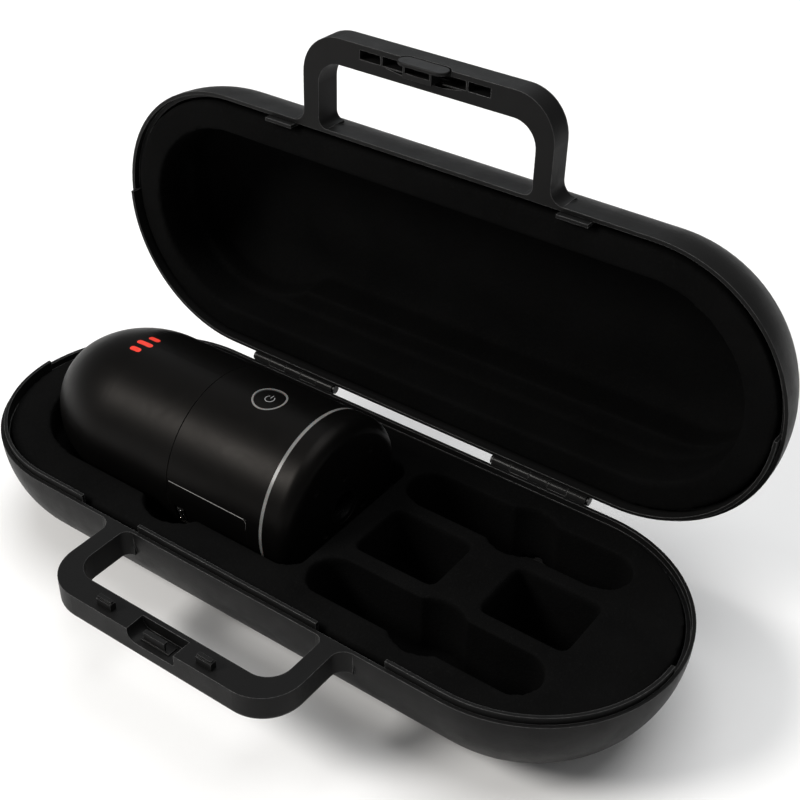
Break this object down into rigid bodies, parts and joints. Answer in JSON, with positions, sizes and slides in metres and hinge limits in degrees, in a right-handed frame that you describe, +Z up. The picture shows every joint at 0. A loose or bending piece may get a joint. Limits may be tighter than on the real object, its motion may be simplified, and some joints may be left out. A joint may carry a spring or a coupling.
{
  "type": "terrestrial laser scanner",
  "caption": "Compact domed laser scanner lying in the shaped foam of its own round-ended two-half carrying case, with the lid open.",
  "frame": {"origin": "on the surface that the feet stand on, under the middle of the open case with its lid and handle", "axes": "+X along the case towards the accessory pockets, +Y towards the hinges, +Z up"},
  "size_m": [0.3492, 0.2284, 0.229],
  "materials": {
    "case_plastic": "matte",
    "case_trim": "satin",
    "foam": "matte",
    "steel": "satin",
    "feet_rubber": "matte",
    "scanner_skin": "satin",
    "light_guide": "satin",
    "battery_wrap": "satin",
    "circuit_board": "satin",
    "motor_metal": "satin",
    "bright_trim": "satin",
    "dark_window": "gloss",
    "head_metal": "satin",
    "mirror_face": "polished"
  },
  "bodies": {
    "case_base": {"base_shell": "case_plastic", "base_foam": "foam", "hinge_pins": "steel", "base_feet": "feet_rubber", "catch_plate": "case_trim", "handle_tabs": "case_trim"},
    "lid": {"lid_shell": "case_plastic", "lid_foam": "foam", "latch_frame": "case_trim"},
    "latch": {"latch_button": "case_trim", "latch_bar": "case_trim"},
    "scanner_body": {"lower_housing": "scanner_skin", "led_ring": "light_guide", "foot_shell": "scanner_skin", "mount_bush": "steel", "foot_screws": "steel", "button_ring": "light_guide", "battery": "battery_wrap", "battery_door": "scanner_skin", "main_board": "circuit_board", "yaw_bearing": "steel", "yaw_motor_stator": "motor_metal"},
    "power_key": {"power_button": "scanner_skin"},
    "door_catch": {"door_latch": "case_trim"},
    "scanner_head": {"dome_cover": "scanner_skin", "scan_window": "dark_window", "camera_windows": "dark_window", "camera_modules": "motor_metal", "head_frame": "head_metal", "yaw_motor_rotor": "steel", "laser_module": "head_metal", "beam_collimator": "head_metal", "mirror_motor": "motor_metal"},
    "mirror": {"mirror_rotor": "mirror_face"}
  },
  "joints": [
    {"name": "lid_hinge", "type": "hinge", "parent": "case_base", "child": "lid", "pos_m": [0, 0.06324, 0.0515], "axis": [-1, 0, 0], "range_deg": [-90.79, 0]},
    {"name": "latch_press", "type": "slide", "parent": "lid", "child": "latch", "axis": [0, -0.0138, -0.9999], "range_m": [0, 0.0015], "stiffness_N_per_m": 900},
    {"name": "scanner_lift", "type": "slide", "parent": "case_base", "child": "scanner_body", "axis": [0, 0, 1], "range_m": [0, 0.15]},
    {"name": "head_turn", "type": "hinge", "parent": "scanner_body", "child": "scanner_head", "pos_m": [-0.06, -0.00592, 0.0539], "axis": [1, 0, 0], "continuous": true},
    {"name": "mirror_spin", "type": "hinge", "parent": "scanner_head", "child": "mirror", "pos_m": [-0.1, -0.00592, 0.0539], "axis": [0, 0.5, -0.866], "continuous": true},
    {"name": "power_press", "type": "slide", "parent": "scanner_body", "child": "power_key", "axis": [0, 0, -1], "range_m": [0, 0.0006], "stiffness_N_per_m": 1200},
    {"name": "door_latch_slide", "type": "slide", "parent": "scanner_body", "child": "door_catch", "axis": [1, 0, 0], "range_m": [0, 0.0022], "stiffness_N_per_m": 300}
  ]
}
